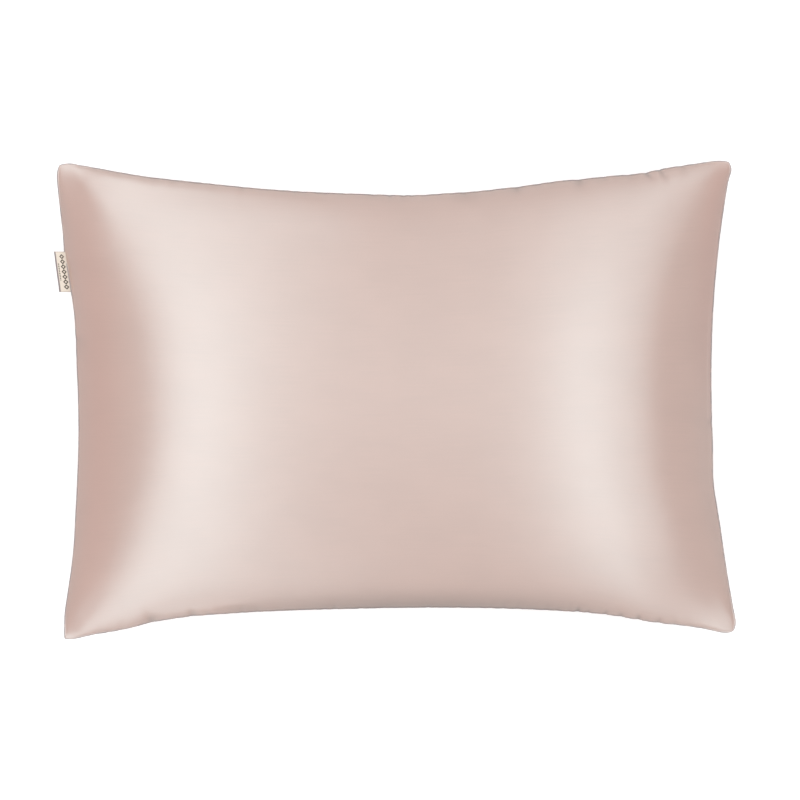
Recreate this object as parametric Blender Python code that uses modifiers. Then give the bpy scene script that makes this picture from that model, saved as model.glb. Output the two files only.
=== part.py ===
"""A satin pillowcase on its plump pillow, lying on its back.

Two satin panels are seamed on all four sides round the pillow. They make one filled solid, with a
crown, sides drawn in between blunt corners, a thin seam lip, soft puckers along the seams and a flat
patch to rest on. A short tape label, folded once, is caught in the left seam.

World frame, in metres: X runs along the length, Y towards the top edge, and Z up from the resting face.
"""

import math

import bmesh
import bpy
from mathutils import Matrix, Vector

OBJECT_NAME = "filled_pillowcase"

# The four corners, seen from above, as the sides would meet there. Each is blunted from this far off,
# by this share of a full quarter round.
CORNERS = {
    "top_left": Vector((-0.340, 0.237)),
    "top_right": Vector((0.333, 0.239)),
    "bottom_left": Vector((-0.335, -0.243)),
    "bottom_right": Vector((0.340, -0.237)),
}
CORNER_REACH = 0.020
CORNER_ROUNDING = 0.65

# Each side is drawn in between its corners. At w, from -1 at its start to 1 at its end, it stands in
# by (1 - w * w) * (inset + lean * w + fullness * w * w).
SIDES = {
    "top": {"ends": ("top_left", "top_right"), "inset": 0.0345, "lean": -0.0035, "fullness": -0.009},
    "bottom": {"ends": ("bottom_left", "bottom_right"), "inset": 0.0335, "lean": -0.001, "fullness": 0.017},
    "left": {"ends": ("bottom_left", "top_left"), "inset": 0.0215, "lean": -0.0040, "fullness": -0.008},
    "right": {"ends": ("bottom_right", "top_right"), "inset": 0.0260, "lean": 0.001, "fullness": -0.001},
}
INWARD = {
    "top": Vector((0.0, -1.0)),
    "bottom": Vector((0.0, 1.0)),
    "left": Vector((1.0, 0.0)),
    "right": Vector((-1.0, 0.0)),
}
HALF_LENGTH = (CORNERS["top_right"].x - CORNERS["top_left"].x) / 2
HALF_WIDTH = (CORNERS["top_left"].y - CORNERS["bottom_left"].y) / 2

# Heights: the seam stands above the surface, the front panel crowns over it and the back panel sags.
SEAM_HEIGHT = 0.060
CORNER_DROOP = 0.009
SEAM_WAVES = (
    {"rise": 0.0009, "along": 5.3, "across": 2.1, "phase": 0.6},
    {"rise": 0.0009, "along": 3.1, "across": -4.7, "phase": 2.0},
)
CROWN = 0.095
SAG = 0.078
REST_BLEND = 0.009
CROWN_FULLNESS = {"along": 2.3, "across": 2.8}
SAG_FULLNESS = {"along": 2.6, "across": 2.8}

# The seam lip: where the two panels are sewn together, flat between thread and edge. It holds the
# puckers back until the cloth has risen by this share of the crown.
LIP_WIDTH = 0.0045
LIP_THICKNESS = 0.0026
LIP_HOLD = 0.25

# Soft puckers run in from the seam. "along" is measured from the middle of the side, towards +X or +Y.
# "slant" is how far the pucker leans along the side for each metre inwards. TROUGH_PEAK makes the
# deepest place of each one as deep as its row says.
TROUGH_PEAK = 3.5
PUCKERS = (
    {"side": "top", "along": -0.245, "reach": 0.055, "width": 0.014, "depth": 0.0026, "slant": 0.6},
    {"side": "top", "along": -0.130, "reach": 0.040, "width": 0.013, "depth": 0.0020, "slant": 0.3},
    {"side": "top", "along": -0.030, "reach": 0.036, "width": 0.014, "depth": 0.0018, "slant": 0.1},
    {"side": "top", "along": 0.085, "reach": 0.040, "width": 0.013, "depth": 0.0022, "slant": -0.2},
    {"side": "top", "along": 0.176, "reach": 0.050, "width": 0.014, "depth": 0.0026, "slant": -0.3},
    {"side": "top", "along": 0.226, "reach": 0.045, "width": 0.012, "depth": 0.0026, "slant": -0.6},
    {"side": "top", "along": 0.268, "reach": 0.055, "width": 0.012, "depth": 0.0034, "slant": -0.8},
    {"side": "bottom", "along": -0.220, "reach": 0.055, "width": 0.014, "depth": 0.0034, "slant": 0.7},
    {"side": "bottom", "along": -0.150, "reach": 0.042, "width": 0.013, "depth": 0.0022, "slant": 0.4},
    {"side": "bottom", "along": -0.055, "reach": 0.036, "width": 0.013, "depth": 0.0018, "slant": 0.1},
    {"side": "bottom", "along": 0.065, "reach": 0.042, "width": 0.014, "depth": 0.0024, "slant": -0.1},
    {"side": "bottom", "along": 0.148, "reach": 0.048, "width": 0.014, "depth": 0.0026, "slant": -0.4},
    {"side": "bottom", "along": 0.204, "reach": 0.048, "width": 0.012, "depth": 0.0028, "slant": -0.6},
    {"side": "bottom", "along": 0.262, "reach": 0.050, "width": 0.013, "depth": 0.0024, "slant": -0.8},
    {"side": "left", "along": 0.058, "reach": 0.036, "width": 0.017, "depth": 0.0020, "slant": 0.1},
    {"side": "left", "along": -0.110, "reach": 0.034, "width": 0.018, "depth": 0.0016, "slant": 0.3},
    {"side": "right", "along": -0.026, "reach": 0.036, "width": 0.017, "depth": 0.0020, "slant": 0.1},
    {"side": "right", "along": 0.120, "reach": 0.034, "width": 0.018, "depth": 0.0016, "slant": -0.3},
)

# Two soft folds flank the ridge that runs in from each corner, opened this far from its line.
CORNER_FOLD_OPENING = math.radians(17.0)
CORNER_FOLD_REACH = 0.150
CORNER_FOLD_WIDTH = 0.013
CORNER_FOLD_DEPTH = {"top_left": 0.0042, "top_right": 0.0030, "bottom_left": 0.0044, "bottom_right": 0.0032}

# Cells of the cage, counted over the whole panel with the lip at its rim.
COLUMNS = 34
ROWS = 16
CROWDING = {"along": 0.55, "across": 0.85}

# The folded tape label stands out of the left seam. Its fold is fuller than its root, and one end
# of the fold lifts a little.
LABEL_ALONG = 0.129
LABEL_LENGTH = 0.040
LABEL_REACH = 0.0132
LABEL_THICKNESS = 0.0014
LABEL_FOLD_SWELL = 0.25
LABEL_LIFT = 0.0008
LABEL_GAP = 0.0003
LABEL_EDGE = 0.0004
LABEL_CUTS = 5

SATIN = {"colour": (0.58, 0.40, 0.35, 1.0), "roughness": 0.34}
TAPE = {"colour": (0.78, 0.72, 0.62, 1.0), "roughness": 0.75}


def remove_everything():
    """Empty the scene."""
    for item in list(bpy.data.objects):
        bpy.data.objects.remove(item, do_unlink=True)


def cloth_material(name, look):
    """A matt or glossy cloth of one colour."""
    material = bpy.data.materials.new(name)
    material.use_nodes = True
    shader = material.node_tree.nodes["Principled BSDF"]
    shader.inputs["Base Color"].default_value = look["colour"]
    shader.inputs["Roughness"].default_value = look["roughness"]
    shader.inputs["Metallic"].default_value = 0.0
    material.diffuse_color = look["colour"]
    return material


def side_point(name, w):
    """A point of a drawn-in side, from w = -1 at its start to w = 1 at its end."""
    side = SIDES[name]
    start, end = (CORNERS[corner] for corner in side["ends"])
    inset = (1 - w * w) * (side["inset"] + side["lean"] * w + side["fullness"] * w * w)
    return start.lerp(end, (w + 1) / 2) + INWARD[name] * inset


def drawn_back(share):
    """How much of a coordinate is left when the other one is this far into the corner."""
    return 1 - CORNER_ROUNDING * (1 - math.sqrt(1 - share * share / 2))


def blunted(u, v):
    """Panel coordinates with the square corner drawn back to a blunt one."""
    reach_u = CORNER_REACH / HALF_LENGTH
    reach_v = CORNER_REACH / HALF_WIDTH
    past_u = (abs(u) - (1 - reach_u)) / reach_u
    past_v = (abs(v) - (1 - reach_v)) / reach_v
    if past_u <= 0 or past_v <= 0:
        return u, v
    blunt_u = 1 - reach_u + reach_u * past_u * drawn_back(past_v)
    blunt_v = 1 - reach_v + reach_v * past_v * drawn_back(past_u)
    return math.copysign(blunt_u, u), math.copysign(blunt_v, v)


def panel_point(u, v):
    """The place in the outline of panel coordinates u and v, both from -1 to 1."""
    u, v = blunted(u, v)
    right = (u + 1) / 2
    up = (v + 1) / 2
    between_long_sides = side_point("bottom", u).lerp(side_point("top", u), up)
    between_short_sides = side_point("left", v).lerp(side_point("right", v), right)
    low_corners = CORNERS["bottom_left"].lerp(CORNERS["bottom_right"], right)
    high_corners = CORNERS["top_left"].lerp(CORNERS["top_right"], right)
    return between_long_sides + between_short_sides - low_corners.lerp(high_corners, up)


def swell(u, v, fullness):
    """How full the pillow is, from 1 in the middle to 0 at the thread of the seam."""
    along = min(abs(u) / (1 - LIP_WIDTH / HALF_LENGTH), 1.0)
    across = min(abs(v) / (1 - LIP_WIDTH / HALF_WIDTH), 1.0)
    return math.sqrt((1 - along ** fullness["along"]) * (1 - across ** fullness["across"]))


def seam_height(u, v):
    """The seam wanders gently and sinks towards the corners."""
    height = SEAM_HEIGHT - CORNER_DROOP * u * u * v * v
    for wave in SEAM_WAVES:
        height += wave["rise"] * math.sin(wave["along"] * u + wave["across"] * v + wave["phase"])
    return height


def trough(place, start, heading, reach, width):
    """A soft trough, 1 deep, from start along heading: deepest a fifth of the way, faded out at reach."""
    offset = place - start
    along = offset.dot(heading) / reach
    aside = offset.cross(heading) / width
    if along <= 0 or along >= 1:
        return 0.0
    return TROUGH_PEAK * math.exp(-aside * aside) * math.sqrt(along) * (1 - along) ** 2


def pucker_depth(place):
    """How far the puckers along the four sides draw the cloth in at a place of the panel."""
    depth = 0.0
    for row in PUCKERS:
        is_long_side = row["side"] in ("top", "bottom")
        w = row["along"] / (HALF_LENGTH if is_long_side else HALF_WIDTH)
        inward = INWARD[row["side"]]
        sideways = Vector((1.0, 0.0)) if is_long_side else Vector((0.0, 1.0))
        heading = (inward + sideways * row["slant"]).normalized()
        start = side_point(row["side"], w)
        depth += row["depth"] * trough(place, start, heading, row["reach"], row["width"])
    return depth


def corner_fold_depth(place):
    """How far the pair of folds at each corner draws the cloth in at a place of the panel."""
    depth = 0.0
    for name, corner in CORNERS.items():
        ridge = -corner.normalized()
        for opening in (-CORNER_FOLD_OPENING, CORNER_FOLD_OPENING):
            heading = Matrix.Rotation(opening, 2) @ ridge
            fold = trough(place, corner, heading, CORNER_FOLD_REACH, CORNER_FOLD_WIDTH)
            depth += CORNER_FOLD_DEPTH[name] * fold
    return depth


def rest_on_surface(height):
    """Flat on the surface where the cloth would sink into it, with a soft start to the rise."""
    if height <= -REST_BLEND:
        return 0.0
    if height < REST_BLEND:
        return (height + REST_BLEND) ** 2 / (4 * REST_BLEND)
    return height


def case_point(u, v, is_front):
    """A point of the front or the back panel."""
    place = panel_point(u, v)
    seam = seam_height(u, v)
    fill = swell(u, v, CROWN_FULLNESS if is_front else SAG_FULLNESS)
    draw = (pucker_depth(place) + corner_fold_depth(place)) * min(1.0, fill / LIP_HOLD)
    if is_front:
        height = seam + LIP_THICKNESS / 2 + CROWN * fill - draw
    else:
        height = rest_on_surface(seam - LIP_THICKNESS / 2 - SAG * fill + draw)
    return Vector((place.x, place.y, height))


def cell_borders(count, crowding, lip_share):
    """Cell borders from -1 to 1, closer together towards the rim, with the lip as the last cell."""
    borders = [-1.0]
    for index in range(count - 1):
        even = 2 * index / (count - 2) - 1
        graded = (1 - crowding) * even + crowding * math.sin(even * math.pi / 2)
        borders.append(graded * (1 - lip_share))
    borders.append(1.0)
    return borders


def make_case(collection):
    """The two panels, filled: a grid thickened to two layers, each point then set in its place."""
    columns = cell_borders(COLUMNS, CROWDING["along"], LIP_WIDTH / HALF_LENGTH)
    rows = cell_borders(ROWS, CROWDING["across"], LIP_WIDTH / HALF_WIDTH)
    cage = bmesh.new()
    bmesh.ops.create_grid(cage, x_segments=COLUMNS, y_segments=ROWS, size=1.0)
    bmesh.ops.solidify(cage, geom=cage.faces[:], thickness=1.0)
    middle = sum(point.co.z for point in cage.verts) / len(cage.verts)
    for point in cage.verts:
        column = round((point.co.x + 1) / 2 * COLUMNS)
        row = round((point.co.y + 1) / 2 * ROWS)
        point.co = case_point(columns[column], rows[row], point.co.z > middle)
    bmesh.ops.recalc_face_normals(cage, faces=cage.faces[:])
    mesh = bpy.data.meshes.new("filled_case")
    cage.to_mesh(mesh)
    cage.free()
    mesh.shade_smooth()
    mesh.materials.append(cloth_material("satin", SATIN))
    case = bpy.data.objects.new("filled_case", mesh)
    collection.objects.link(case)
    rounding = case.modifiers.new("rounding", "SUBSURF")
    rounding.levels = 1
    rounding.render_levels = 1
    return case


def make_label(collection):
    """The folded tape: a thin tab whose root follows the seam, a hair's breadth off the lip."""
    w = LABEL_ALONG / HALF_WIDTH
    half_share = LABEL_LENGTH / 2 / HALF_WIDTH
    low_end = side_point("left", w - half_share)
    high_end = side_point("left", w + half_share)
    along = (high_end - low_end).normalized()
    outward = Vector((-along.y, along.x))
    root = (low_end + high_end) / 2
    tab = bmesh.new()
    bmesh.ops.create_cube(tab, size=1.0)
    bmesh.ops.subdivide_edges(tab, edges=tab.edges[:], cuts=LABEL_CUTS, use_grid_fill=True)
    for point in tab.verts:
        reach = point.co.x + 0.5
        lift = LABEL_LIFT * math.sin(reach * math.pi / 2) * (1 + point.co.y)
        fullness = 1.0 + LABEL_FOLD_SWELL * math.sin(reach * math.pi)
        flat = root + outward * (LABEL_GAP + reach * LABEL_REACH) + along * point.co.y * LABEL_LENGTH
        height = seam_height(-1.0, w) + lift + point.co.z * LABEL_THICKNESS * fullness
        point.co = Vector((flat.x, flat.y, height))
    bmesh.ops.recalc_face_normals(tab, faces=tab.faces[:])
    mesh = bpy.data.meshes.new("seam_label")
    tab.to_mesh(mesh)
    tab.free()
    mesh.materials.append(cloth_material("label_tape", TAPE))
    label = bpy.data.objects.new("seam_label", mesh)
    collection.objects.link(label)
    edge = label.modifiers.new("edge", "BEVEL")
    edge.width = LABEL_EDGE
    edge.segments = 2
    edge.limit_method = "ANGLE"
    return label


def main():
    remove_everything()
    collection = bpy.data.collections.new(OBJECT_NAME)
    bpy.context.scene.collection.children.link(collection)
    make_case(collection)
    make_label(collection)


main()
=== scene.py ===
"""The looks of a satin pillowcase on its plump pillow, lying on its back on a pale studio floor.

The case is modelled from the same sizes as the solid that it replaces, on a far finer grid: a rolled
seam edge, puckers drawn in along the seams, soft folds out of the corners and a fine satin finish.
The side label is a tape folded once. Everything is in metres, in the frame of the solids.
"""
import math
import random

import bpy
import numpy as np
from mathutils import Matrix, Vector


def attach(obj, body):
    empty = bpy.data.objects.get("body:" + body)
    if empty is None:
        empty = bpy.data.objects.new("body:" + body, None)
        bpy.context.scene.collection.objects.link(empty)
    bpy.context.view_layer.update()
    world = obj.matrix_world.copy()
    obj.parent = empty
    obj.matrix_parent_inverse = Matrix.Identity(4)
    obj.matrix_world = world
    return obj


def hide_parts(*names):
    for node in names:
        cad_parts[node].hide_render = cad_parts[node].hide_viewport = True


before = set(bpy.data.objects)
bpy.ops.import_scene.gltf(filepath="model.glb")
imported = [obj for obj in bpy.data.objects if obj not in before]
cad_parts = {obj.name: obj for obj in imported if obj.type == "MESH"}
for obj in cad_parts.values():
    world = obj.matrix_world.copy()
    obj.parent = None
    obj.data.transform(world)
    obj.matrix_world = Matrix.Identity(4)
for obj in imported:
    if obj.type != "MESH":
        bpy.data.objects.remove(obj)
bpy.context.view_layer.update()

# ---------------------------------------------------------------- sizes shared with the solid

# The four corners, seen from above, where the sides would meet. Each is blunted over CORNER_REACH.
CORNERS = {
    "top_left": (-0.340, 0.237),
    "top_right": (0.333, 0.239),
    "bottom_left": (-0.335, -0.243),
    "bottom_right": (0.340, -0.237),
}
CORNER_REACH = 0.020
# Each side is drawn in between its corners. At w, from -1 at its start to 1 at its end, it stands in
# by (1 - w * w) * (inset + lean * w + fullness * w * w). The corners and these sizes were fitted to the
# photograph's outline by least squares and rounded.
SIDES = {
    "top": {"ends": ("top_left", "top_right"), "inset": 0.0345, "lean": -0.0035, "fullness": -0.009},
    "bottom": {"ends": ("bottom_left", "bottom_right"), "inset": 0.0335, "lean": -0.001, "fullness": 0.017},
    "left": {"ends": ("bottom_left", "top_left"), "inset": 0.0215, "lean": -0.0040, "fullness": -0.008},
    "right": {"ends": ("bottom_right", "top_right"), "inset": 0.0260, "lean": 0.001, "fullness": -0.001},
}
INWARD = {"top": (0.0, -1.0), "bottom": (0.0, 1.0), "left": (1.0, 0.0), "right": (-1.0, 0.0)}
ALONG = {"top": (1.0, 0.0), "bottom": (1.0, 0.0), "left": (0.0, 1.0), "right": (0.0, 1.0)}
HALF_LENGTH = (CORNERS["top_right"][0] - CORNERS["top_left"][0]) / 2
HALF_WIDTH = (CORNERS["top_left"][1] - CORNERS["bottom_left"][1]) / 2
HALF_SIDE = {"top": HALF_LENGTH, "bottom": HALF_LENGTH, "left": HALF_WIDTH, "right": HALF_WIDTH}

# The seam's height over the surface. It sinks towards the corners and wanders in two gentle waves.
SEAM_HEIGHT = 0.060
CORNER_DROOP = 0.009
SEAM_WAVES = (
    {"rise": 0.0009, "along": 5.3, "across": 2.1, "phase": 0.6},
    {"rise": 0.0009, "along": 3.1, "across": -4.7, "phase": 2.0},
)
# How far the face rises over the seam, how far the back would sag under it, and how softly the back
# meets the surface.
CROWN = 0.095
SAG = 0.078
REST_BLEND = 0.009
# How full the face and the back are: the powers that shape the run towards each side. "rise" is the
# power that lifts the cloth off the seam, and "ends" is added to the powers across towards the ends.
# The face's powers come from a least-squares fit to the photograph's shading, and four of the seven were
# then changed.
CROWN_FULLNESS = {
    "left": 2.00, "right": 2.50, "rise_along": 0.577,
    "bottom": 1.85, "top": 2.35, "rise_across": 0.485, "ends": -0.35,
}
SAG_FULLNESS = {
    "left": 2.6, "right": 2.6, "rise_along": 0.5,
    "bottom": 2.8, "top": 2.8, "rise_across": 0.5, "ends": 0.0,
}

# ---------------------------------------------------------------- sizes of the finer form

# The cells of each panel's grid, and how much they crowd towards the seams, from 0 to 1.
PANEL_COLUMNS = 372
PANEL_ROWS = 112
CROWDING = {"along": 0.35, "across": 0.80}

# How blunt each corner is: 0 is square and 1 is an arc.
CORNER_ROUNDING = {"top_left": 0.66, "top_right": 0.55, "bottom_left": 0.60, "bottom_right": 0.85}
# The filling doesn't quite reach the corners: how far the flat ears go and how flat they are.
CORNER_EARS = {
    "top_left": {"reach": 0.036, "flat": 0.62},
    "top_right": {"reach": 0.018, "flat": 0.40},
    "bottom_left": {"reach": 0.018, "flat": 0.80},
    "bottom_right": {"reach": 0.065, "flat": 0.50},
}

# Where the sewn sides stray a little from their even curves. "along" is measured from the middle of the
# side, towards +X or +Y. A stray fades out towards a side's ends: STRAY_FADE is how steeply.
STRAY_FADE = 4
STRAYS = (
    {"side": "top", "along": 0.024, "width": 0.045, "inward": 0.0020},
    {"side": "top", "along": 0.088, "width": 0.020, "inward": 0.0008},
    {"side": "top", "along": 0.163, "width": 0.025, "inward": -0.0012},
    {"side": "top", "along": 0.243, "width": 0.022, "inward": 0.0018},
    {"side": "top", "along": -0.250, "width": 0.040, "inward": 0.0014},
    {"side": "left", "along": 0.085, "width": 0.030, "inward": 0.0018},
    {"side": "left", "along": 0.146, "width": 0.014, "inward": -0.0013},
    {"side": "left", "along": -0.155, "width": 0.042, "inward": 0.0017},
    {"side": "left", "along": -0.230, "width": 0.012, "inward": 0.0040},
    {"side": "right", "along": -0.085, "width": 0.028, "inward": 0.0022},
    {"side": "right", "along": 0.020, "width": 0.110, "inward": -0.0009},
    {"side": "right", "along": 0.232, "width": 0.008, "inward": -0.0060},
    {"side": "bottom", "along": 0.250, "width": 0.035, "inward": -0.0026},
    {"side": "bottom", "along": -0.060, "width": 0.080, "inward": -0.0008},
    {"side": "bottom", "along": -0.215, "width": 0.040, "inward": 0.0009},
    {"side": "bottom", "along": -0.275, "width": 0.030, "inward": -0.0020},
)

# The seam is a fine rolled edge. In section, from the panel to the join: how far out it has come, how
# thick half of it is, both as shares, and how much of its darker thread shows.
EDGE_WIDTH = 0.0015
EDGE_THICKNESS = 0.0014
EDGE_SECTION = (
    {"out": 0.00, "half": 0.55, "thread": 0.0},
    {"out": 0.22, "half": 0.80, "thread": 0.25},
    {"out": 0.50, "half": 0.98, "thread": 0.8},
    {"out": 0.76, "half": 0.90, "thread": 1.0},
    {"out": 0.93, "half": 0.62, "thread": 1.0},
    {"out": 1.00, "half": 0.30, "thread": 1.0},
    {"out": 0.97, "half": 0.06, "thread": 1.0},
)
THREAD_LAYER = "seam_thread"
# The least length that a normal is divided by.
SHORTEST_NORMAL = 1e-12
# Puckers, folds and bulges have their full size where the pillow is this full or fuller, and fade out
# towards the seam.
FULL_RELIEF_FILL = 0.12

# Where the cloth is drawn in along a stretch of seam: a narrow groove makes the cloth beside the seam
# stand up as a thin strip.
SEAM_GROOVES = (
    {"side": "right", "start": -0.045, "end": 0.105, "inside": 0.0042, "width": 0.0016, "depth": 0.0008},
    {"side": "left", "start": 0.040, "end": 0.108, "inside": 0.0045, "width": 0.0018, "depth": 0.0006},
    {"side": "left", "start": 0.150, "end": 0.215, "inside": 0.0040, "width": 0.0018, "depth": 0.0005},
    {"side": "bottom", "start": -0.182, "end": -0.128, "inside": 0.0050, "width": 0.0040, "depth": 0.0018},
)

# Where the cloth stands a little fuller beside the seam: "rise" is how much higher it is there.
SEAM_BULGES = (
    {"side": "top", "start": -0.350, "end": -0.060, "inside": 0.0030, "width": 0.0110, "rise": 0.0042},
    {"side": "bottom", "start": -0.245, "end": -0.120, "inside": 0.0030, "width": 0.0080, "rise": 0.0032},
)

# Painted shade darkens the cloth's colour: along stretches of seam, by this share at most, and in the
# puckers, by a share that grows with how deep they are. Down the two short sides a warmer painted shade
# lies on the flanks.
PAINTED_SEAM_SHADES = (
    {"side": "bottom", "start": -0.170, "end": 0.225, "inside": 0.0020, "width": 0.0170, "depth": 0.36},
    {"side": "bottom", "start": -0.182, "end": -0.128, "inside": 0.0030, "width": 0.0050, "depth": 0.10},
)
PAINTED_PUCKER_SHADE = {"full_depth": 0.0016, "share": 0.22, "most": 1.5, "power": 1.5}
PAINTED_SHADE_LAYER = "seam_shade"
# Painted shade: a warmer, deeper tone on the steep flanks down the two short sides.
PAINTED_FLANK_SHADES = (
    {"side": "left", "start": -0.300, "end": 0.300, "inside": 0.0220, "width": 0.0260, "depth": 0.24},
    {"side": "right", "start": -0.020, "end": 0.300, "inside": 0.0080, "width": 0.0160, "depth": 0.24},
)
PAINTED_FLANK_LAYER = "painted_flank_shade"

# The clearest puckers, listed one by one. "along" is measured from the middle of the side, towards +X or
# +Y, and "slant" is how far the pucker leans along the side for each metre inwards.
CLEAR_PUCKERS = (
    {"side": "top", "along": -0.312, "reach": 0.018, "width": 0.0040, "depth": 0.0010, "slant": 0.9},
    {"side": "top", "along": -0.298, "reach": 0.016, "width": 0.0035, "depth": 0.0008, "slant": 0.6},
    {"side": "top", "along": -0.004, "reach": 0.012, "width": 0.0030, "depth": 0.0012, "slant": 0.1},
    {"side": "top", "along": 0.010, "reach": 0.012, "width": 0.0030, "depth": 0.0010, "slant": -0.2},
    {"side": "top", "along": 0.070, "reach": 0.024, "width": 0.0120, "depth": 0.0010, "slant": -0.1},
    {"side": "top", "along": 0.122, "reach": 0.020, "width": 0.0080, "depth": 0.0010, "slant": -0.3},
    {"side": "top", "along": 0.184, "reach": 0.022, "width": 0.0070, "depth": 0.0013, "slant": -0.3},
    {"side": "top", "along": 0.208, "reach": 0.014, "width": 0.0040, "depth": 0.0010, "slant": -0.3},
    {"side": "top", "along": 0.232, "reach": 0.014, "width": 0.0040, "depth": 0.0010, "slant": 0.2},
    {"side": "top", "along": 0.250, "reach": 0.018, "width": 0.0030, "depth": 0.0015, "slant": 0.5},
    {"side": "top", "along": 0.263, "reach": 0.022, "width": 0.0032, "depth": 0.0018, "slant": 0.5},
    {"side": "top", "along": 0.286, "reach": 0.018, "width": 0.0050, "depth": 0.0010, "slant": 0.3},
    {"side": "bottom", "along": -0.246, "reach": 0.018, "width": 0.0080, "depth": 0.0018, "slant": 0.8},
    {"side": "bottom", "along": -0.205, "reach": 0.012, "width": 0.0040, "depth": 0.0013, "slant": 0.4},
    {"side": "bottom", "along": 0.028, "reach": 0.008, "width": 0.0030, "depth": 0.0010, "slant": 0.0},
    {"side": "bottom", "along": 0.176, "reach": 0.012, "width": 0.0040, "depth": 0.0018, "slant": -0.3},
    {"side": "bottom", "along": 0.186, "reach": 0.009, "width": 0.0028, "depth": 0.0016, "slant": -0.3},
    {"side": "bottom", "along": 0.203, "reach": 0.009, "width": 0.0028, "depth": 0.0018, "slant": -0.2},
    {"side": "bottom", "along": 0.219, "reach": 0.010, "width": 0.0032, "depth": 0.0018, "slant": -0.4},
    {"side": "bottom", "along": 0.236, "reach": 0.011, "width": 0.0036, "depth": 0.0020, "slant": -0.5},
    {"side": "bottom", "along": 0.256, "reach": 0.010, "width": 0.0032, "depth": 0.0016, "slant": -0.5},
    {"side": "left", "along": 0.058, "reach": 0.020, "width": 0.0060, "depth": 0.0011, "slant": 0.1},
    {"side": "left", "along": 0.046, "reach": 0.016, "width": 0.0050, "depth": 0.0010, "slant": 0.2},
    {"side": "right", "along": -0.026, "reach": 0.014, "width": 0.0045, "depth": 0.0014, "slant": 0.1},
)

# Small puckers all along each seam: how closely they follow each other and how deep they are.
SMALL_PUCKERS = {
    "top": {"pitch": 0.0105, "depth": 0.0006},
    "bottom": {"pitch": 0.0095, "depth": 0.0007},
    "left": {"pitch": 0.0170, "depth": 0.0004},
    "right": {"pitch": 0.0170, "depth": 0.0004},
}
# How the small puckers vary: their reach in metres, and their width, depth and spacing as shares of
# the seam's own. At the ends of a side they lean by "lean", give or take "stray", and they keep
# "clear" of the corners.
PUCKER_SPREAD = {
    "clear": 0.03,
    "reach": (0.007, 0.018),
    "width": (0.28, 0.45),
    "depth": (0.3, 1.3),
    "spacing": (0.6, 1.5),
    "lean": -0.7,
    "stray": 0.25,
}
# The seeds of the small puckers on the front and on the back.
FRONT_SEED = 11
BACK_SEED = 12
# A pucker or fold in section and along its run: how strong its two shoulders are beside the trough, and
# how long it stays deep.
FOLD_SHOULDERS = 0.8
FOLD_HOLD = 1.6
# Each pucker also draws the seam in, by this share of its depth, within this share of the panel.
SEAM_DRAW = 0.35
SEAM_DRAW_REACH = 0.06

# Soft folds out of each corner: how many degrees each opens from the line to the middle of the pillow,
# how far it runs, how wide it is and how deep. A ridge has a negative depth.
CORNER_FOLDS = (
    {"opening": -19.0, "reach": 0.090, "width": 0.008, "depth": 0.0010},
    {"opening": 15.0, "reach": 0.080, "width": 0.007, "depth": 0.0008},
    {"opening": -36.0, "reach": 0.045, "width": 0.005, "depth": 0.0008},
    {"opening": 33.0, "reach": 0.050, "width": 0.005, "depth": 0.0007},
)
CORNER_RIDGES = (
    {"corner": "top_left", "opening": -10.0, "reach": 0.120, "width": 0.012, "depth": -0.0012},
)
CORNER_STRENGTH = {"top_left": 1.0, "top_right": 0.7, "bottom_left": 1.1, "bottom_right": 0.8}

# ---------------------------------------------------------------- sizes of the label

# Where the label is along the left side from its middle, how long it is along the seam, how far it
# reaches out, how much further at its upper end than at its lower, how far its two layers run into the
# seam, and how much it lifts at the fold.
LABEL_ALONG = 0.129
LABEL_LENGTH = 0.040
LABEL_REACH = 0.0105
LABEL_TAPER = -0.0020
LABEL_ROOT = 0.0030
LABEL_LIFT = 0.0008
# The tape, and half the gap between its two layers, which are pinched together towards the seam.
TAPE_HALF_THICKNESS = 0.00017
TAPE_HALF_GAP = 0.00042
TAPE_PINCH = 0.4
TAPE_FOLD_STEPS = 10
TAPE_RUN_STEPS = 24
TAPE_LENGTH_STEPS = 60
TAPE_WAVES = (
    {"rise": 0.00028, "along": 2.1, "out": 0.6, "phase": 0.4},
    {"rise": 0.00014, "along": 5.7, "out": 2.2, "phase": 1.9},
)

# ---------------------------------------------------------------- sizes and colours of the cloth

CLOTH_MAP = "cloth"
# "pitch" is from thread to thread. "patch" and "streak" are the sizes of uneven colour along and across
# the warp, and "thread_patch" that of the patches in which the seam's thread shows more or less, down to
# "thread_least". A "_range" is the stretch of a texture's values that is used. "warp_relief" is the
# height of the warp threads as a share of how deep the ties lie, and "gloss_turn" is in whole turns.
SATIN = {
    "colour": (0.541, 0.345, 0.290),
    "uneven": 0.025,
    "uneven_range": (0.6, 1.4),
    "patch": (0.060, 0.040),
    "patch_detail": 2.0,
    "streak": (0.045, 0.0012),
    "streak_detail": 3.0,
    "streak_range": (0.3, 0.7),
    "pitch": 0.00028,
    "tie_hollow_shade": (0.0, 0.0, 0.0),
    "tie_shade": 0.10,
    "warp_relief": 0.5,
    "relief": 0.000010,
    "thread_colour": (0.240, 0.165, 0.170),
    "thread_patch": (0.010, 0.010),
    "thread_range": (0.35, 0.60),
    "thread_least": 0.45,
    "thread_roughness": 0.3,
    "painted_shade_colour": (0.050, 0.010, 0.000),
    "painted_flank_colour": (0.540, 0.200, 0.140),
    "roughness": (0.35, 0.39),
    "anisotropy": 0.9,
    "gloss_turn": 0.25,
    "ior": 2.2,
    "gloss_level": 0.85,
    "gloss_tint": (0.78, 0.98, 1.0),
}
# Every fifth crossing of a five-end satin ties a warp thread down. The ties make a square lattice, and
# these are its pitch in threads and its turn.
TIE_PITCH = math.sqrt(5)
TIE_TURN = math.atan(0.5)

TAPE_MAP = "tape"
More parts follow.
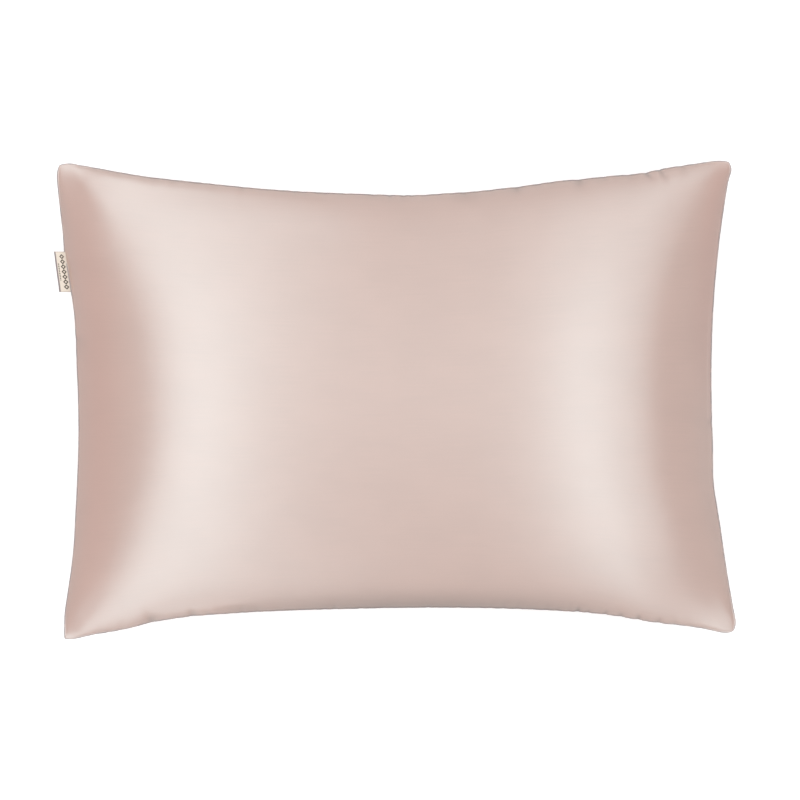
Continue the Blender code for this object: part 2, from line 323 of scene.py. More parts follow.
# "fold_at", "lozenges_at" and "line_at" are places along the tape, from the inner end of its top layer.
# A pair of half widths is where a mark starts to fade and where it is gone. Painted shade darkens the fold
# and the tape's two edges: for the edges, a pair gives how far inside them it starts and where it has its
# full share.
TAPE = {
    "colour": (0.80, 0.71, 0.61),
    "uneven": 0.04,
    "patch": (0.006, 0.004),
    "patch_detail": 2.0,
    "motif_colour": (0.065, 0.048, 0.032),
    "fold_shade_tone": (0.24, 0.20, 0.20),
    "fold_at": 0.0130,
    "fold_half_width": (0.0008, 0.0016),
    "end_shade": (0.0010, 0.0002),
    "end_shade_share": 0.45,
    "pitch": 0.00036,
    "gap_hollow_shade": (0.1, 0.07, 0.05),
    "gap_shade": 0.15,
    "relief": 0.00003,
    "roughness": (0.75, 0.6),
    "sheen": 0.15,
}
# A row of lozenge outlines along the seam, and a broken line beside it. "ring" is how far out from a
# lozenge's middle its outline lies, as a share, "ring_half_width" is a share too, and "dash_share" is
# half of what a dash takes of its pitch.
MOTIF = {
    "lozenges_at": 0.0060,
    "lozenge_half_width": 0.0025,
    "lozenge_half_length": 0.0026,
    "lozenge_pitch": 0.0050,
    "ring": 0.72,
    "ring_half_width": (0.20, 0.36),
    "row_half_length": 0.0175,
    "line_at": 0.0104,
    "line_half_width": (0.0004, 0.0007),
    "line_half_length": 0.0085,
    "dash_pitch": 0.0017,
    "dash_share": 0.3,
}
# A wave texture has 20 radians to each unit.
WAVE_PERIOD = 2 * math.pi / 20

# ---------------------------------------------------------------- the photograph's view

PHOTO_WIDTH = 800
METRES_PER_PIXEL = 0.00099
CENTRE_PIXEL = (397.25, 399.0)
LENS_MM = 100.0
SENSOR_MM = 36.0
CAMERA_REACH = 50.0


def side_line(name, w):
    """Points of a drawn-in side, from w = -1 at its start to w = 1 at its end."""
    side = SIDES[name]
    start, end = (np.array(CORNERS[corner]) for corner in side["ends"])
    inset = (1 - w * w) * (side["inset"] + side["lean"] * w + side["fullness"] * w * w)
    for row in STRAYS:
        if row["side"] == name:
            off = (w * HALF_SIDE[name] - row["along"]) / row["width"]
            inset = inset + row["inward"] * np.exp(-off * off) * np.minimum(1.0, STRAY_FADE * (1 - w * w))
    share = ((w + 1) / 2)[..., None]
    return start + (end - start) * share + np.array(INWARD[name]) * inset[..., None]


def blunted(u, v):
    """Panel coordinates with the square corners drawn back to blunt ones."""
    reach_u = CORNER_REACH / HALF_LENGTH
    reach_v = CORNER_REACH / HALF_WIDTH
    past_u = np.clip((np.abs(u) - (1 - reach_u)) / reach_u, 0, 1)
    past_v = np.clip((np.abs(v) - (1 - reach_v)) / reach_v, 0, 1)
    high = np.where(u < 0, CORNER_ROUNDING["top_left"], CORNER_ROUNDING["top_right"])
    low = np.where(u < 0, CORNER_ROUNDING["bottom_left"], CORNER_ROUNDING["bottom_right"])
    rounding = np.where(v < 0, low, high)
    back_u = 1 - rounding * (1 - np.sqrt(1 - past_v * past_v / 2))
    back_v = 1 - rounding * (1 - np.sqrt(1 - past_u * past_u / 2))
    blunt_u = np.where(past_u > 0, 1 - reach_u + reach_u * past_u * back_u, np.abs(u))
    blunt_v = np.where(past_v > 0, 1 - reach_v + reach_v * past_v * back_v, np.abs(v))
    return np.copysign(blunt_u, u), np.copysign(blunt_v, v)


def panel_places(u, v):
    """The places in the outline of panel coordinates u and v, both from -1 to 1."""
    u, v = blunted(u, v)
    right = ((u + 1) / 2)[..., None]
    up = ((v + 1) / 2)[..., None]
    low_left, low_right, high_left, high_right = (
        np.array(CORNERS[name]) for name in ("bottom_left", "bottom_right", "top_left", "top_right")
    )
    between_long_sides = side_line("bottom", u) * (1 - up) + side_line("top", u) * up
    between_short_sides = side_line("left", v) * (1 - right) + side_line("right", v) * right
    low = low_left * (1 - right) + low_right * right
    high = high_left * (1 - right) + high_right * right
    return between_long_sides + between_short_sides - (low * (1 - up) + high * up)


def swell(u, v, fullness):
    """How full the pillow is, from 1 in the middle to 0 at the thread of the seam."""
    along = np.minimum(np.abs(u) / (1 - EDGE_WIDTH / HALF_LENGTH), 1.0)
    across = np.minimum(np.abs(v) / (1 - EDGE_WIDTH / HALF_WIDTH), 1.0)
    power_along = np.where(u < 0, fullness["left"], fullness["right"])
    power_across = np.where(v < 0, fullness["bottom"], fullness["top"]) + fullness["ends"] * along ** 2
    lengthwise = (1 - along ** power_along) ** fullness["rise_along"]
    return lengthwise * (1 - across ** power_across) ** fullness["rise_across"]


def ear_fill(places):
    """What the flat ears leave of the filling, from 1 over most of the pillow to less at its corners."""
    left = np.ones(places.shape[:-1])
    for name, corner in CORNERS.items():
        ear = CORNER_EARS[name]
        away = np.linalg.norm(places - np.array(corner), axis=-1)
        left *= 1 - ear["flat"] * np.exp(-(away / ear["reach"]) ** 2)
    return left


def seam_heights(u, v):
    """The seam wanders gently and sinks towards the corners."""
    height = SEAM_HEIGHT - CORNER_DROOP * u * u * v * v
    for wave in SEAM_WAVES:
        height = height + wave["rise"] * np.sin(wave["along"] * u + wave["across"] * v + wave["phase"])
    return height


def rest_on_surface(height):
    """Flat on the surface where the cloth would sink into it, with a soft start to the rise."""
    blend = (height + REST_BLEND) ** 2 / (4 * REST_BLEND)
    return np.where(height <= -REST_BLEND, 0.0, np.where(height < REST_BLEND, blend, height))


def fold_field(places, start, heading, reach, width):
    """A fold, 1 deep, from start along heading: a trough between two low shoulders, fading out."""
    offset = places - np.array(start)
    along = np.clip((offset @ np.array(heading)) / reach, 0, 1)
    aside = (offset[..., 0] * heading[1] - offset[..., 1] * heading[0]) / (width * (1 + along))
    section = (1 - FOLD_SHOULDERS * aside ** 2) * np.exp(-aside ** 2)
    return section * (1 - along) ** 2 * (1 + FOLD_HOLD * along)


def groove_field(places, row):
    """A groove along a stretch of seam, 1 deep, fading out at both its ends."""
    half = HALF_SIDE[row["side"]]
    middle, reach = (row["start"] + row["end"]) / 2, (row["end"] - row["start"]) / 2
    inward, along = np.array(INWARD[row["side"]]), np.array(ALONG[row["side"]])
    seam = side_line(row["side"], places @ along / half)
    inside = (places - seam) @ inward
    fade = np.clip(1 - ((places @ along - middle) / reach) ** 2, 0, 1)
    return np.exp(-((inside - row["inside"]) / row["width"]) ** 2) * fade


def unit(x, y):
    """The direction of (x, y), one long."""
    size = math.hypot(x, y)
    return (x / size, y / size)


def small_puckers(name, rng):
    """A seam's run of small puckers, each a little different, leaning to its middle near its ends."""
    rows = []
    half = HALF_SIDE[name]
    kind = SMALL_PUCKERS[name]
    spread = PUCKER_SPREAD
    along = -half + spread["clear"] + rng.uniform(0, kind["pitch"])
    while along < half - spread["clear"]:
        rows.append({
            "side": name,
            "along": along,
            "reach": rng.uniform(*spread["reach"]),
            "width": kind["pitch"] * rng.uniform(*spread["width"]),
            "depth": kind["depth"] * rng.uniform(*spread["depth"]),
            "slant": spread["lean"] * along / half + rng.uniform(-spread["stray"], spread["stray"]),
        })
        along += kind["pitch"] * rng.uniform(*spread["spacing"])
    return rows


def pucker_depths(places, is_front):
    """How far the seam's puckers draw the cloth in, over a whole panel."""
    rng = random.Random(FRONT_SEED if is_front else BACK_SEED)
    rows = list(CLEAR_PUCKERS) if is_front else []
    for name in SIDES:
        rows += small_puckers(name, rng)
    draw = np.zeros(places.shape[:-1])
    for row in rows:
        name = row["side"]
        w = np.array(row["along"] / HALF_SIDE[name])
        inward, along = INWARD[name], ALONG[name]
        heading = unit(inward[0] + along[0] * row["slant"], inward[1] + along[1] * row["slant"])
        field = fold_field(places, side_line(name, w), heading, row["reach"], row["width"])
        draw += row["depth"] * field
    return draw


def corner_fold_depths(places):
    """How far the soft folds out of the corners draw the cloth in."""
    folds = [
        dict(row, corner=name, depth=row["depth"] * CORNER_STRENGTH[name])
        for name in CORNERS
        for row in CORNER_FOLDS
    ]
    draw = np.zeros(places.shape[:-1])
    for row in folds + list(CORNER_RIDGES):
        corner = CORNERS[row["corner"]]
        angle = math.atan2(-corner[1], -corner[0]) + math.radians(row["opening"])
        heading = (math.cos(angle), math.sin(angle))
        draw += row["depth"] * fold_field(places, corner, heading, row["reach"], row["width"])
    return draw


def painted_seam_shades(places):
    """How much painted shade darkens the cloth's colour along stretches of seam and in the puckers, over
    the front panel.
    """
    depths = pucker_depths(places, True)
    gathers = np.clip(depths / PAINTED_PUCKER_SHADE["full_depth"], 0, PAINTED_PUCKER_SHADE["most"])
    shade = PAINTED_PUCKER_SHADE["share"] * gathers ** PAINTED_PUCKER_SHADE["power"]
    return shade + sum(row["depth"] * groove_field(places, row) for row in PAINTED_SEAM_SHADES)


def painted_flank_shades(places):
    """How far painted shade turns the cloth's colour warmer and deeper on the steep flanks of its short
    sides.
    """
    return sum(row["depth"] * groove_field(places, row) for row in PAINTED_FLANK_SHADES)


def graded_borders(count, crowding, edge_share):
    """Panel coordinates of the grid lines, and how far round the edge's section each one has come."""
    half_edge = len(EDGE_SECTION) - 1
    borders, rounds = [], []
    for index in range(count + 1):
        even = 2 * index / count - 1
        graded = (1 - crowding) * even + crowding * math.sin(even * math.pi / 2)
        borders.append(graded * (1 - edge_share))
        rounds.append(0)
    for step in range(1, half_edge + 1):
        out = 1 - edge_share + edge_share * EDGE_SECTION[step]["out"]
        borders = [-out] + borders + [out]
        rounds = [step] + rounds + [step]
    return np.array(borders), np.array(rounds)


def outward_normals(points, is_front):
    """The unit normals of a panel's grid of points, facing out of the pillow."""
    crosswise, lengthwise = np.gradient(points, axis=0), np.gradient(points, axis=1)
    normals = np.cross(lengthwise, crosswise)
    normals /= np.maximum(np.linalg.norm(normals, axis=2, keepdims=True), SHORTEST_NORMAL)
    return normals if is_front else -normals


def panel_points(u, v, rounds, is_front):
    """All points of one panel, with the rolled edge's section at its rim."""
    places = panel_places(u, v)
    fill = swell(u, v, CROWN_FULLNESS if is_front else SAG_FULLNESS) * ear_fill(places)
    half = np.array([row["half"] for row in EDGE_SECTION])[rounds] * EDGE_THICKNESS / 2
    off_seam = np.where(rounds > 0, 0.0, np.minimum(1.0, fill / FULL_RELIEF_FILL))
    if is_front:
        bulges = sum(row["rise"] * groove_field(places, row) for row in SEAM_BULGES)
        height = seam_heights(u, v) + half + CROWN * fill + bulges * off_seam
    else:
        height = seam_heights(u, v) - half - SAG * fill
    points = np.dstack([places, height])
    gathers = pucker_depths(places, True)
    draw = corner_fold_depths(places) + (gathers if is_front else pucker_depths(places, False))
    for row in SEAM_GROOVES if is_front else ():
        draw += row["depth"] * groove_field(places, row)
    points -= outward_normals(points, is_front) * (draw * off_seam)[..., None]
    for axis, share in enumerate((u, v)):
        near = np.clip((np.abs(share) - 1 + SEAM_DRAW_REACH) / SEAM_DRAW_REACH, 0, 1) ** 2
        points[..., axis] -= np.sign(share) * near * SEAM_DRAW * gathers
    if not is_front:
        points[..., 2] = rest_on_surface(points[..., 2])
    return points


def sheet_faces(rows, columns, first, is_front):
    """The four-sided faces of one layer of the grid, wound to face outwards."""
    numbers = first + np.arange(rows * columns).reshape(rows, columns)
    around = [numbers[:-1, :-1], numbers[:-1, 1:], numbers[1:, 1:], numbers[1:, :-1]]
    if not is_front:
        around.reverse()
    return np.stack([part.ravel() for part in around], axis=1)


def rim_faces(rows, columns):
    """The faces that join the front layer's rim to the back layer's."""
    numbers = np.arange(rows * columns).reshape(rows, columns)
    rim = np.concatenate([numbers[0, :-1], numbers[:-1, -1], numbers[-1, :0:-1], numbers[:0:-1, 0]])
    beyond = np.roll(rim, -1)
    count = rows * columns
    return np.stack([rim, rim + count, beyond + count, beyond], axis=1)


def mesh_object(name, points, faces, map_name, flat):
    """A smooth closed mesh in the scene, with one map that gives each point's place on the flat cloth."""
    mesh = bpy.data.meshes.new(name)
    mesh.from_pydata(points, [], faces.tolist())
    mesh.update()
    mesh.shade_smooth()
    layer = mesh.uv_layers.new(name=map_name)
    layer.data.foreach_set("uv", flat[faces.ravel()].ravel())
    piece = bpy.data.objects.new(name, mesh)
    bpy.context.scene.collection.objects.link(piece)
    return piece


def make_case():
    """The two panels as one closed mesh, with a map of the cloth in metres, the warp along the length."""
    columns, column_rounds = graded_borders(PANEL_COLUMNS, CROWDING["along"], EDGE_WIDTH / HALF_LENGTH)
    rows, row_rounds = graded_borders(PANEL_ROWS, CROWDING["across"], EDGE_WIDTH / HALF_WIDTH)
    u, v = np.meshgrid(columns, rows)
    rounds = np.maximum(*np.meshgrid(column_rounds, row_rounds))
    layers = [panel_points(u, v, rounds, is_front) for is_front in (True, False)]
    points = np.concatenate([layer.reshape(-1, 3) for layer in layers])
    faces = np.concatenate([
        sheet_faces(*u.shape, 0, True),
        sheet_faces(*u.shape, u.size, False),
        rim_faces(*u.shape),
    ])
    flat = np.tile(np.column_stack([u.ravel() * HALF_LENGTH, v.ravel() * HALF_WIDTH]), (2, 1))
    case = mesh_object("satin_case", points, faces, CLOTH_MAP, flat)
    thread = np.array([row["thread"] for row in EDGE_SECTION])[rounds]
    places = panel_places(u, v)
    shares_by_layer = {
        THREAD_LAYER: thread,
        PAINTED_SHADE_LAYER: painted_seam_shades(places),
        PAINTED_FLANK_LAYER: painted_flank_shades(places),
    }
    for name, shares in shares_by_layer.items():
        layer = case.data.attributes.new(name, "FLOAT", "POINT")
        layer.data.foreach_set("value", np.tile(shares.ravel(), 2))
    return case


def tape_path():
    """The folded tape's middle line in section: out along the top layer, round the fold and back.

    Each row has a point's place, outwards and up, and the way that the tape's upper or outer skin faces.
    """
    straight = LABEL_REACH - TAPE_HALF_GAP - TAPE_HALF_THICKNESS
    length = straight + LABEL_ROOT
    runs = [length * step / TAPE_RUN_STEPS - LABEL_ROOT for step in range(TAPE_RUN_STEPS)]
    path = [(out, TAPE_HALF_GAP, 0.0, 1.0) for out in runs]
    for step in range(TAPE_FOLD_STEPS + 1):
        turn = math.pi * step / TAPE_FOLD_STEPS
        across, up = math.sin(turn), math.cos(turn)
        path.append((straight + TAPE_HALF_GAP * across, TAPE_HALF_GAP * up, across, up))
    path += [(out, -TAPE_HALF_GAP, 0.0, -1.0) for out in reversed(runs)]
    return np.array(path)


def tape_wave(out, along):
    """The tape isn't quite flat: it lifts at its upper end and waves a little towards the fold."""
    share = np.clip(out / LABEL_REACH, 0, 1)
    height = LABEL_LIFT * np.sin(share * math.pi / 2) * (1 + along)
    for wave in TAPE_WAVES:
        angle = wave["along"] * along * math.pi + wave["out"] * share + wave["phase"]
        height = height + wave["rise"] * share * np.sin(angle)
    return height


def make_label():
    """The side label: a woven tape folded once, both its ends caught in the seam."""
    w = LABEL_ALONG / HALF_WIDTH
    half_share = LABEL_LENGTH / 2 / HALF_WIDTH
    low_end, high_end = side_line("left", np.array([w - half_share, w + half_share]))
    along = (high_end - low_end) / (high_end[1] - low_end[1])
    outward = np.array([-1.0, 0.0])
    root = (low_end + high_end) / 2
    middle = seam_heights(np.array(-1.0), np.array(w))
    path = tape_path()
    places = np.linspace(-0.5, 0.5, TAPE_LENGTH_STEPS + 1)
    skins, maps = [], []
    travel = np.concatenate([[0.0], np.cumsum(np.hypot(*np.diff(path[:, :2], axis=0).T))])
    for side in (1.0, -1.0):
        out = path[:, 0] + side * TAPE_HALF_THICKNESS * path[:, 2]
        high = path[:, 1] + side * TAPE_HALF_THICKNESS * path[:, 3]
        high *= 1 - TAPE_PINCH * (1 - np.clip(out / LABEL_REACH, 0, 1)) ** 2
        spread, across = np.meshgrid(places, out, indexing="ij")
        reach = across * (1 + LABEL_TAPER * spread / LABEL_REACH)
        flat = root + outward * reach[..., None] + along * (spread * LABEL_LENGTH)[..., None]
        height = middle + high + tape_wave(across, spread)
        skins.append(np.dstack([flat, height]))
        maps.append(np.dstack([np.tile(travel, (len(places), 1)), spread * LABEL_LENGTH]))
    points = np.concatenate([skin.reshape(-1, 3) for skin in skins])
    shape = skins[0].shape[:2]
    count = shape[0] * shape[1]
    faces = np.concatenate([
        sheet_faces(*shape, 0, False),
        sheet_faces(*shape, count, True),
        rim_faces(*shape)[:, ::-1],
    ])
    flat_map = np.concatenate([part.reshape(-1, 2) for part in maps])
    return mesh_object("seam_tape", points, faces, TAPE_MAP, flat_map)


def add_node(material, kind, settings=(), inputs=()):
    """A shader node with some of its settings and inputs filled in, by name."""
    node = material.node_tree.nodes.new(kind)
    for name, value in dict(settings).items():
        setattr(node, name, value)
    for name, value in dict(inputs).items():
        node.inputs[name].default_value = value
    return node


def feed(material, value, socket):
    """Fills an input with a plain number, a plain colour or another node's output."""
    if isinstance(value, bpy.types.NodeSocket):
        material.node_tree.links.new(value, socket)
    elif isinstance(value, tuple):
        socket.default_value = (*value, 1.0)
    else:
        socket.default_value = value


def sums(material, operation, first, second=0.0):
    """One step of arithmetic on outputs or plain numbers."""
    node = add_node(material, "ShaderNodeMath", {"operation": operation})
    feed(material, first, node.inputs[0])
    feed(material, second, node.inputs[1])
    return node.outputs["Value"]


def ranged(material, value, start, end, low=0.0, high=1.0):
    """A value's run from start to end, brought to run softly from low to high."""
    limits = {"From Min": start, "From Max": end, "To Min": low, "To Max": high}
    node = add_node(material, "ShaderNodeMapRange", {"interpolation_type": "SMOOTHSTEP"}, limits)
    feed(material, value, node.inputs["Value"])
    return node.outputs["Result"]


def mixed_colour(material, share, first, second):
    """A colour from first to second, by share. A Mix node's colour sockets are told apart by number."""
    node = add_node(material, "ShaderNodeMix", {"data_type": "RGBA"})
    for value, socket in zip((share, first, second), (node.inputs[0], node.inputs[6], node.inputs[7])):
        feed(material, value, socket)
    return node.outputs[2]


def layer_share(material, layer_name):
    """A share that the mesh holds at each point."""
    return add_node(material, "ShaderNodeAttribute", {"attribute_name": layer_name}).outputs["Fac"]


def cloth_places(material, map_name, scale=(1.0, 1.0), turn=0.0):
    """Places on the flat cloth in metres, turned and scaled for a texture."""
    flat = add_node(material, "ShaderNodeUVMap", {"uv_map": map_name})
    inputs = {"Scale": (*scale, 1.0), "Rotation": (0.0, 0.0, turn)}
    mapping = add_node(material, "ShaderNodeMapping", {}, inputs)
    feed(material, flat.outputs["UV"], mapping.inputs["Vector"])
    return mapping.outputs["Vector"]


def ribs(material, map_name, pitch, direction, turn=0.0):
    """Round ribs across the map's X or Y, one to each pitch, from 0 between them to 1 on top."""
    settings = {"wave_type": "BANDS", "bands_direction": direction, "wave_profile": "SIN"}
    node = add_node(material, "ShaderNodeTexWave", settings, {"Scale": 1.0, "Distortion": 0.0})
    scale = WAVE_PERIOD / pitch
    feed(material, cloth_places(material, map_name, (scale, scale), turn), node.inputs["Vector"])
    return node.outputs["Fac"]


def clouds(material, map_name, size, detail):
    """Soft uneven patches of about this size in metres along the map's X and Y."""
    inputs = {"Scale": 1.0, "Detail": detail}
    node = add_node(material, "ShaderNodeTexNoise", {"noise_dimensions": "2D"}, inputs)
    scale = (1 / size[0], 1 / size[1])
    feed(material, cloth_places(material, map_name, scale), node.inputs["Vector"])
    return node.outputs["Fac"]


def bumped(material, height, depth):
    """Normals of a fine relief, whose height runs from 0 to 1 over this depth in metres."""
    node = add_node(material, "ShaderNodeBump", {}, {"Strength": 1.0, "Distance": depth})
    feed(material, height, node.inputs["Height"])
    return node.outputs["Normal"]


def uneven_colours(finish):
    """A finish's colour at its darkest and at its lightest."""
    return [tuple(part * (1 + finish["uneven"] * way) for part in finish["colour"]) for way in (-1, 1)]


def satin_material():
    """Dusty-pink satin: long warp floats lie along the length and spread the gloss across it."""
    material = bpy.data.materials.new("satin_cloth")
    material.use_nodes = True
    shader = material.node_tree.nodes["Principled BSDF"]
    warp = ribs(material, CLOTH_MAP, SATIN["pitch"], "Y")
    ties = sums(
        material, "MULTIPLY",
        ribs(material, CLOTH_MAP, SATIN["pitch"] * TIE_PITCH, "X", TIE_TURN),
        ribs(material, CLOTH_MAP, SATIN["pitch"] * TIE_PITCH, "Y", TIE_TURN),
    )
    patches = clouds(material, CLOTH_MAP, SATIN["patch"], SATIN["patch_detail"])
    streaks = clouds(material, CLOTH_MAP, SATIN["streak"], SATIN["streak_detail"])
    uneven = ranged(material, sums(material, "ADD", patches, streaks), *SATIN["uneven_range"])
    dyed = mixed_colour(material, uneven, *uneven_colours(SATIN))
    # Painted shade: a warmer, deeper tone on the short sides' flanks.
    with_flank_shade = mixed_colour(material, layer_share(material, PAINTED_FLANK_LAYER), dyed, SATIN["painted_flank_colour"])
    # Painted shade: darker along stretches of seam and in the puckers.
    with_painted_shade = mixed_colour(material, layer_share(material, PAINTED_SHADE_LAYER), with_flank_shade, SATIN["painted_shade_colour"])
    # Painted shade: the ties, which lie lower than the floats, are darkened a little.
    at_tie = mixed_colour(material, SATIN["tie_shade"], with_painted_shade, SATIN["tie_hollow_shade"])
    tied = mixed_colour(material, ties, with_painted_shade, at_tie)
    thread = layer_share(material, THREAD_LAYER)
    thread_patches = clouds(material, CLOTH_MAP, SATIN["thread_patch"], SATIN["patch_detail"])
    thread_shows = ranged(material, thread_patches, *SATIN["thread_range"], SATIN["thread_least"])
    thread = sums(material, "MULTIPLY", thread, thread_shows)
    coloured = mixed_colour(material, thread, tied, SATIN["thread_colour"])
    feed(material, coloured, shader.inputs["Base Color"])
    rough = ranged(material, streaks, *SATIN["streak_range"], *SATIN["roughness"])
    rougher = sums(material, "MULTIPLY", thread, SATIN["thread_roughness"])
    feed(material, sums(material, "ADD", rough, rougher), shader.inputs["Roughness"])
    relief = sums(material, "SUBTRACT", sums(material, "MULTIPLY", warp, SATIN["warp_relief"]), ties)
    feed(material, bumped(material, relief, SATIN["relief"]), shader.inputs["Normal"])
    shader.inputs["IOR"].default_value = SATIN["ior"]
    shader.inputs["Specular IOR Level"].default_value = SATIN["gloss_level"]
    shader.inputs["Specular Tint"].default_value = (*SATIN["gloss_tint"], 1.0)
    shader.inputs["Anisotropic"].default_value = SATIN["anisotropy"]
    shader.inputs["Anisotropic Rotation"].default_value = SATIN["gloss_turn"]
    warp_way = add_node(material, "ShaderNodeTangent", {"direction_type": "UV_MAP", "uv_map": CLOTH_MAP})
    feed(material, warp_way.outputs["Tangent"], shader.inputs["Tangent"])
    return material


def tape_material():
    """Cream woven tape with a plain row of small lozenges and a broken line, and painted shade on its outer
    fold and two edges.
    """
    material = bpy.data.materials.new("woven_tape")
    material.use_nodes = True
    shader = material.node_tree.nodes["Principled BSDF"]
    flat = add_node(material, "ShaderNodeSeparateXYZ")
    feed(material, cloth_places(material, TAPE_MAP), flat.inputs["Vector"])
    out, along = flat.outputs["X"], flat.outputs["Y"]
    from_middle = sums(material, "ABSOLUTE", along)

    def beside(place):
        """How far along the tape a point is from this place, to either side."""
        return sums(material, "ABSOLUTE", sums(material, "SUBTRACT", out, place))

    along_lozenge = sums(material, "PINGPONG", along, MOTIF["lozenge_pitch"] / 2)
    from_lozenge = sums(
        material, "ADD",
        sums(material, "DIVIDE", beside(MOTIF["lozenges_at"]), MOTIF["lozenge_half_width"]),
        sums(material, "DIVIDE", along_lozenge, MOTIF["lozenge_half_length"]),
    )
    from_ring = sums(material, "ABSOLUTE", sums(material, "SUBTRACT", from_lozenge, MOTIF["ring"]))
    rings = ranged(material, from_ring, *MOTIF["ring_half_width"], 1.0, 0.0)
    in_row = sums(material, "LESS_THAN", from_middle, MOTIF["row_half_length"])
    row = sums(material, "MULTIPLY", rings, in_row)
    along_dash = sums(material, "PINGPONG", along, MOTIF["dash_pitch"] / 2)
    dashes = sums(material, "LESS_THAN", along_dash, MOTIF["dash_pitch"] * MOTIF["dash_share"])
    on_line = ranged(material, beside(MOTIF["line_at"]), *MOTIF["line_half_width"], 1.0, 0.0)
    in_line = sums(material, "LESS_THAN", from_middle, MOTIF["line_half_length"])
    line = sums(material, "MULTIPLY", sums(material, "MULTIPLY", dashes, on_line), in_line)
    patches = clouds(material, TAPE_MAP, TAPE["patch"], TAPE["patch_detail"])
    cream = mixed_colour(material, patches, *uneven_colours(TAPE))
    picks = ribs(material, TAPE_MAP, TAPE["pitch"], "X")
    ends = ribs(material, TAPE_MAP, TAPE["pitch"], "Y")
    weave = sums(material, "MULTIPLY", picks, ends)
    # Painted shade: the gaps between the threads, which lie lower, are darkened.
    in_gaps = mixed_colour(material, TAPE["gap_shade"], cream, TAPE["gap_hollow_shade"])
    woven = mixed_colour(material, weave, in_gaps, cream)
    inked = mixed_colour(material, sums(material, "MAXIMUM", row, line), woven, TAPE["motif_colour"])
    # Painted shade: the outer fold and the tape's two edges are darkened.
    at_fold = ranged(material, beside(TAPE["fold_at"]), *TAPE["fold_half_width"], 1.0, 0.0)
    shade_from, shade_to = (LABEL_LENGTH / 2 - inside for inside in TAPE["end_shade"])
    at_ends = ranged(material, from_middle, shade_from, shade_to, 0.0, TAPE["end_shade_share"])
    edge_shaded = mixed_colour(material, sums(material, "MAXIMUM", at_fold, at_ends), inked, TAPE["fold_shade_tone"])
    feed(material, edge_shaded, shader.inputs["Base Color"])
    feed(material, ranged(material, weave, 0.0, 1.0, *TAPE["roughness"]), shader.inputs["Roughness"])
    feed(material, bumped(material, weave, TAPE["relief"]), shader.inputs["Normal"])
    shader.inputs["Sheen Weight"].default_value = TAPE["sheen"]
    return material


def make_camera():
    """Straight above the face, with a long lens, framed as the photograph is."""
    camera = bpy.data.cameras.new("camera")
    camera.lens = LENS_MM
    camera.sensor_width = SENSOR_MM
    camera.clip_end = CAMERA_REACH
    holder = bpy.data.objects.new("camera", camera)
    bpy.context.scene.collection.objects.link(holder)
    distance = PHOTO_WIDTH * METRES_PER_PIXEL * LENS_MM / SENSOR_MM
    middle = PHOTO_WIDTH / 2
    holder.location = (
        (middle - CENTRE_PIXEL[0]) * METRES_PER_PIXEL,
        (CENTRE_PIXEL[1] - middle) * METRES_PER_PIXEL,
        SEAM_HEIGHT + distance,
    )
    bpy.context.scene.camera = holder


# ---------------------------------------------------------------- the studio

# Each softbox runs beside a line across the pillow's middle at this height, and faces it from this far.
SOFTBOX_AIM = 0.1
SOFTBOX_DISTANCE = 2.0
# A bank of long strips lies along Y. "lean" is a strip's angle in degrees from straight above, towards
# +X, "wide" is its width as an angle, and "low", "middle" and "high" are the glows of its three parts
# along Y, whose angles are in STRIP_PARTS. The glows here and in END_BOXES weren't chosen one by one: a
# program fitted them to the photograph's tones by least squares. Only the last two strips' were then
# changed. SURROUND_GLOW and the satin's colour and gloss_tint started from the same fit.
STRIP_PARTS = {"low": (-58.0, -20.0), "middle": (-20.0, 20.0), "high": (20.0, 58.0)}
STRIPS = (
    {"lean": -50, "wide": 6, "low": 0.77, "middle": 0.05, "high": 0.44},
    {"lean": -44, "wide": 6, "low": 1.07, "middle": 2.29, "high": 1.67},
    {"lean": -38, "wide": 6, "low": 1.43, "middle": 2.32, "high": 1.02},
    {"lean": -32, "wide": 6, "low": 2.28, "middle": 1.79, "high": 1.29},
    {"lean": -24, "wide": 10, "low": 1.10, "middle": 0.64, "high": 1.19},
    {"lean": 0, "wide": 36, "low": 0.20, "middle": 0.73, "high": 0.32},
    {"lean": 24, "wide": 10, "low": 0.84, "middle": 0.51, "high": 1.29},
    {"lean": 32, "wide": 6, "low": 2.07, "middle": 2.24, "high": 0.67},
    {"lean": 38, "wide": 6, "low": 1.42, "middle": 2.51, "high": 1.14},
    {"lean": 44, "wide": 6, "low": 0.38, "middle": 1.26, "high": 0.32},
    {"lean": 51, "wide": 8, "low": 0.75, "middle": 1.55, "high": 0.10},
)
# Two lower boxes lie along X beyond each long side. "lean" is towards +Y.
END_BOX_HEIGHT = 0.7
END_BOXES = (
    {"lean": -72, "start": -1.6, "end": -0.1, "glow": 1.24},
    {"lean": -72, "start": 0.1, "end": 1.6, "glow": 0.23},
    {"lean": 72, "start": -1.6, "end": -0.1, "glow": 1.73},
    {"lean": 72, "start": 0.1, "end": 1.6, "glow": 0.77},
)
SURROUND_GLOW = 0.53
WHITE = (1.0, 1.0, 1.0, 1.0)
FLOOR = {"size": 16.0, "colour": (0.85, 0.85, 0.85, 1.0), "roughness": 0.9, "glow": 0.3}


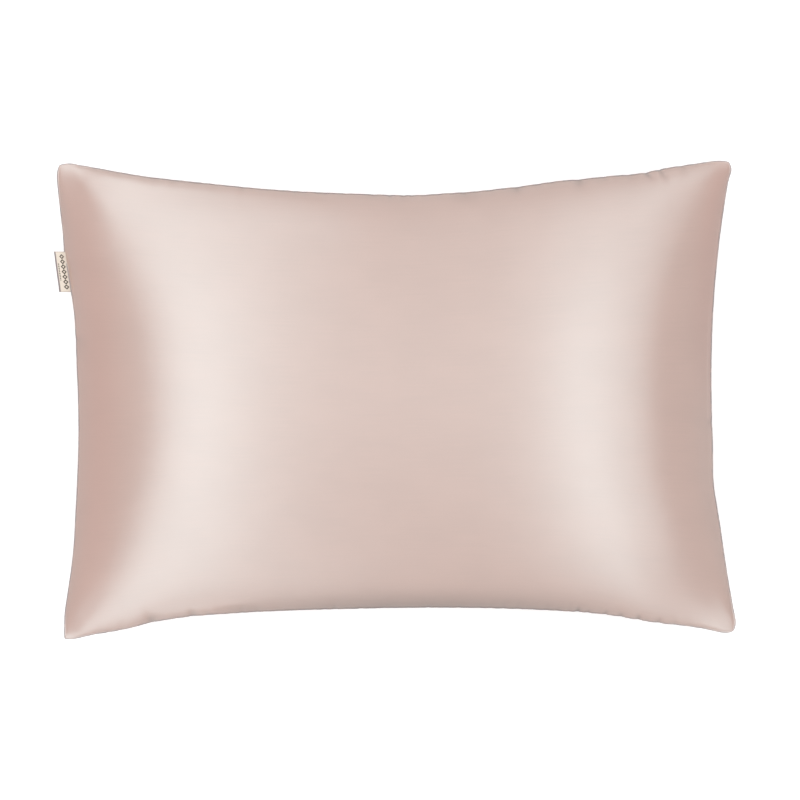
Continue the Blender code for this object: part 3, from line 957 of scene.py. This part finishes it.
def make_softbox(toward, along, start, end, wide, glow):
    """A flat rectangle of light, out towards one way and long along another, unseen by the camera."""
    light = bpy.data.lights.new("softbox", "AREA")
    light.shape = "RECTANGLE"
    light.size = end - start
    light.size_y = wide
    light.energy = glow * math.pi * light.size * light.size_y
    holder = bpy.data.objects.new("softbox", light)
    bpy.context.scene.collection.objects.link(holder)
    turned = Matrix((along, toward.cross(along), toward)).transposed().to_4x4()
    middle = toward * SOFTBOX_DISTANCE + along * (start + end) / 2
    turned.translation = middle + Vector((0, 0, SOFTBOX_AIM))
    holder.matrix_world = turned
    holder.visible_camera = False


def make_lights():
    """Soft studio light: a bank of strips over the length, low boxes beyond the long sides."""
    for row in STRIPS:
        lean = math.radians(row["lean"])
        toward = Vector((math.sin(lean), 0, math.cos(lean)))
        wide = 2 * SOFTBOX_DISTANCE * math.tan(math.radians(row["wide"] / 2))
        for part, angles in STRIP_PARTS.items():
            start, end = (SOFTBOX_DISTANCE * math.tan(math.radians(angle)) for angle in angles)
            make_softbox(toward, Vector((0, 1, 0)), start, end, wide, row[part])
    for row in END_BOXES:
        lean = math.radians(row["lean"])
        toward = Vector((0, math.sin(lean), math.cos(lean)))
        make_softbox(toward, Vector((1, 0, 0)), row["start"], row["end"], END_BOX_HEIGHT, row["glow"])
    world = bpy.data.worlds.new("surround")
    world.use_nodes = True
    bpy.context.scene.world = world
    background = world.node_tree.nodes["Background"]
    background.inputs["Color"].default_value = WHITE
    background.inputs["Strength"].default_value = SURROUND_GLOW


def make_floor():
    """A wide pale floor with a faint glow of its own, left out of the satin's reflections."""
    bpy.ops.mesh.primitive_plane_add(size=FLOOR["size"], location=(0, 0, 0))
    floor = bpy.context.object
    floor.name = "studio_floor"
    material = bpy.data.materials.new("studio_floor")
    material.use_nodes = True
    shader = material.node_tree.nodes["Principled BSDF"]
    shader.inputs["Base Color"].default_value = FLOOR["colour"]
    shader.inputs["Roughness"].default_value = FLOOR["roughness"]
    shader.inputs["Emission Color"].default_value = WHITE
    shader.inputs["Emission Strength"].default_value = FLOOR["glow"]
    floor.data.materials.append(material)
    floor.visible_glossy = False


def main():
    """The view, the light, the floor and the two pieces, each riding on the one body."""
    bpy.context.scene.view_settings.view_transform = "Standard"
    make_camera()
    make_lights()
    make_floor()
    case = make_case()
    case.data.materials.append(satin_material())
    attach(case, "root")
    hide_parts("filled_case")
    label = make_label()
    label.data.materials.append(tape_material())
    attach(label, "root")
    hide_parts("seam_label")


main()
